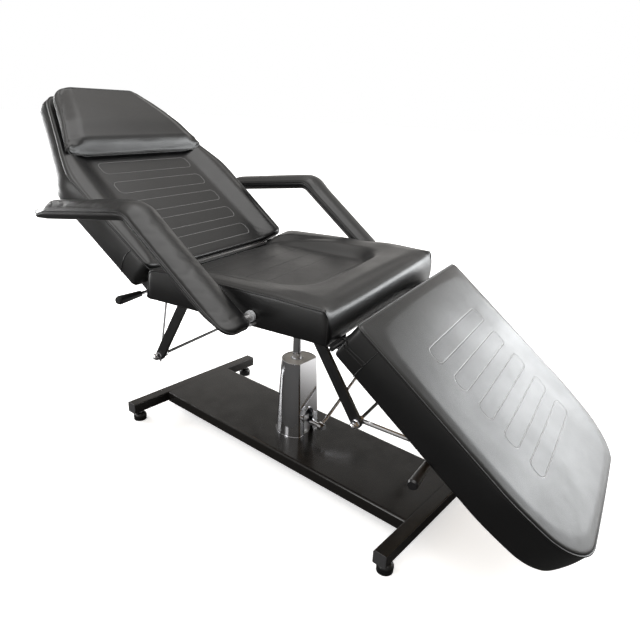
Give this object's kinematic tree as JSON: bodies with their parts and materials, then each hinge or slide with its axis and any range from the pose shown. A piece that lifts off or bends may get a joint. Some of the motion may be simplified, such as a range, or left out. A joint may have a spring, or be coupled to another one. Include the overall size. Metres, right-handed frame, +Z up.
{
  "type": "hydraulic tattoo chair",
  "caption": "Black vinyl hydraulic tattoo chair with tilting backrest and leg rest, lifting armrests, chrome pump column, foot pedal and a folded steel base.",
  "frame": {"origin": "on the floor under the middle of the overall box", "axes": "+X toward the leg rest, +Y toward the armrest on the sitter's left, +Z up"},
  "size_m": [1.571, 0.81, 0.9678],
  "materials": {
    "base_paint": "gloss",
    "end_cap_plastic": "matte",
    "foot_rubber": "satin",
    "bare_steel": "satin",
    "chrome": "polished",
    "cover_cap_paint": "satin",
    "black_rubber": "satin",
    "frame_paint": "satin",
    "bronze": "satin",
    "plywood": "matte",
    "black_vinyl": "satin"
  },
  "bodies": {
    "base": {"rear_foot_tube": "base_paint", "front_foot_tube": "base_paint", "tube_end_caps": "end_cap_plastic", "deck_plate": "base_paint", "pump_flange": "bare_steel", "pump_flange_bolts": "bare_steel", "levelling_feet": "foot_rubber", "foot_studs": "bare_steel", "foot_lock_nuts": "bare_steel", "pump_cylinder": "bare_steel", "pump_cover": "chrome", "cover_base_band": "chrome", "cover_opening_trim": "chrome", "cover_cap": "cover_cap_paint", "pedal_bearing_block": "bare_steel"},
    "pedal": {"pedal_shaft": "chrome", "pedal_lever": "chrome", "pedal_pad": "black_rubber"},
    "piston": {"piston_rod": "chrome"},
    "seat": {"swivel_hub": "frame_paint", "swivel_bush": "bronze", "top_plate": "frame_paint", "top_plate_bolts": "bare_steel", "seat_cross_members": "frame_paint", "seat_rails": "frame_paint", "rear_struts": "frame_paint", "front_struts": "frame_paint", "rear_cross_rod": "frame_paint", "front_cross_rod": "frame_paint", "acorn_nuts": "chrome", "backrest_hinge_ears": "frame_paint", "backrest_hinge_rod": "frame_paint", "legrest_hinge_ears": "frame_paint", "legrest_hinge_rod": "frame_paint", "seat_board": "plywood", "seat_cushion": "black_vinyl", "armrest_mount_left": "bare_steel", "armrest_mount_right": "bare_steel", "armrest_discs": "chrome"},
    "backrest": {"backrest_board": "plywood", "backrest_cushion": "black_vinyl", "headrest_pillow": "black_vinyl", "backrest_hinge_plates": "frame_paint", "rear_lock_lug": "frame_paint"},
    "rear_release": {"rear_release_lever": "chrome", "rear_release_grip": "black_rubber"},
    "rear_rod": {"rear_lock_rod": "bare_steel"},
    "rear_guide": {"rear_lock_guide": "bare_steel"},
    "legrest": {"legrest_board": "plywood", "legrest_cushion": "black_vinyl", "legrest_hinge_straps": "frame_paint", "legrest_lock_ears": "frame_paint"},
    "front_release": {"front_release_lever": "chrome", "front_release_grip": "black_rubber"},
    "front_sleeve": {"front_lock_sleeve": "chrome"},
    "front_rod": {"front_lock_rod": "chrome"},
    "armrest_left": {"armrest_left_core": "bare_steel", "armrest_left_pad": "black_vinyl"},
    "armrest_right": {"armrest_right_core": "bare_steel", "armrest_right_pad": "black_vinyl"}
  },
  "joints": [
    {"name": "lift", "type": "slide", "parent": "base", "child": "piston", "axis": [0, 0, 1], "range_m": [-0.06, 0.12]},
    {"name": "swivel", "type": "hinge", "parent": "piston", "child": "seat", "pos_m": [-0.01679, 0, 0.39], "axis": [0, 0, 1], "continuous": true},
    {"name": "backrest_tilt", "type": "hinge", "parent": "seat", "child": "backrest", "pos_m": [-0.27479, 0, 0.53], "axis": [0, 1, 0], "range_deg": [-38, 30]},
    {"name": "rear_rod_pivot", "type": "hinge", "parent": "backrest", "child": "rear_rod", "pos_m": [-0.29073, -0.2, 0.50311], "axis": [0, 1, 0], "range_deg": [-34.06, 43.14]},
    {"name": "rear_guide_pivot", "type": "hinge", "parent": "seat", "child": "rear_guide", "pos_m": [-0.31979, -0.2, 0.29], "axis": [0, 1, 0], "range_deg": [-4.07, 5.15]},
    {"name": "rear_release_lever", "type": "hinge", "parent": "backrest", "child": "rear_release", "pos_m": [-0.33218, -0.218, 0.47458], "axis": [0.788, 0, -0.6157], "range_deg": [0, 10], "stiffness_Nm_per_rad": 3, "springref_deg": -11.46},
    {"name": "legrest_tilt", "type": "hinge", "parent": "seat", "child": "legrest", "pos_m": [0.24421, 0, 0.48], "axis": [0, -1, 0], "range_deg": [0, 38.7]},
    {"name": "front_strut_pivot", "type": "hinge", "parent": "seat", "child": "front_sleeve", "pos_m": [0.27821, -0.2, 0.283], "axis": [0, -1, 0], "range_deg": [-0.01, 37.46]},
    {"name": "front_strut_slide", "type": "slide", "parent": "front_sleeve", "child": "front_rod", "axis": [0.9982, 0, -0.0604], "range_m": [-0.0005, 0.1337]},
    {"name": "front_release_lever", "type": "hinge", "parent": "legrest", "child": "front_release", "pos_m": [0.45818, -0.222, 0.26104], "axis": [0.7804, 0, -0.6252], "range_deg": [0, 10], "stiffness_Nm_per_rad": 3, "springref_deg": -11.46},
    {"name": "armrest_left_lift", "type": "hinge", "parent": "seat", "child": "armrest_left", "pos_m": [0.05221, 0.3, 0.514], "axis": [0, 1, 0], "range_deg": [0, 80]},
    {"name": "armrest_right_lift", "type": "hinge", "parent": "seat", "child": "armrest_right", "pos_m": [0.05221, -0.3, 0.514], "axis": [0, 1, 0], "range_deg": [0, 80]},
    {"name": "pedal_press", "type": "hinge", "parent": "base", "child": "pedal", "pos_m": [0.04236, -0.01007, 0.106], "axis": [-0.9858, 0.1678, 0], "range_deg": [0, 30], "stiffness_Nm_per_rad": 20, "springref_deg": -8.59}
  ],
  "couplings": [
    {"joint": "rear_rod_pivot", "follows": "backrest_tilt", "ratio": -1.135},
    {"joint": "rear_guide_pivot", "follows": "backrest_tilt", "ratio": -0.135},
    {"joint": "front_strut_pivot", "follows": "legrest_tilt", "ratio": 0.9677},
    {"joint": "front_strut_slide", "follows": "legrest_tilt", "m_per_rad": 0.19641}
  ]
}
